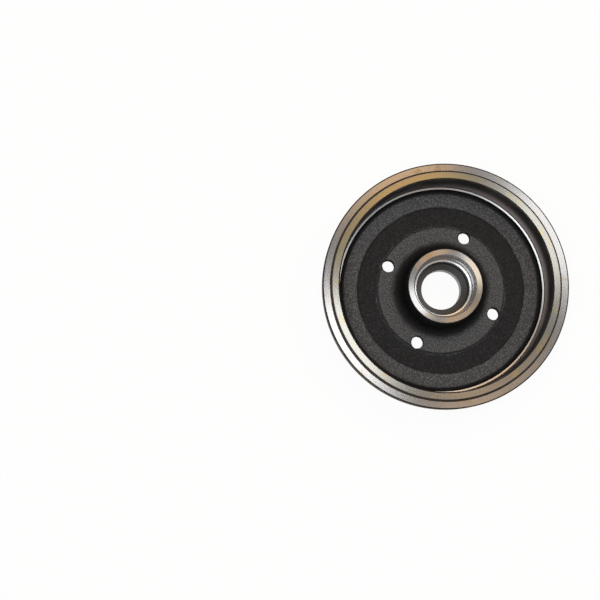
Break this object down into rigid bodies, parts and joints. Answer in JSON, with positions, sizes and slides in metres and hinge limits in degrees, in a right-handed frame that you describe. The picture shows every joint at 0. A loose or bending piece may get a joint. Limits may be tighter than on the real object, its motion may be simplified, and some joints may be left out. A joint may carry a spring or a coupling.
{
  "type": "brake drum",
  "caption": "Cast-iron rear brake drum with an integral wheel hub: stepped bearing bores, wheel spigot, tapped wheel bolt holes and a turned friction bore.",
  "frame": {"origin": "on the axis of the bearing seats, in the plane of the flat outer face that the road wheel seats on", "axes": "+Z along the axis of rotation, out of the open side; +X through one wheel bolt hole; stands open side up on the nose end"},
  "size_m": [0.2086, 0.2086, 0.068],
  "materials": {
    "cast_iron": "as-cast dark grey web, bright turned faces and bores"
  },
  "bodies": {
    "root": {"brake_drum": "cast_iron"}
  },
  "joints": []
}
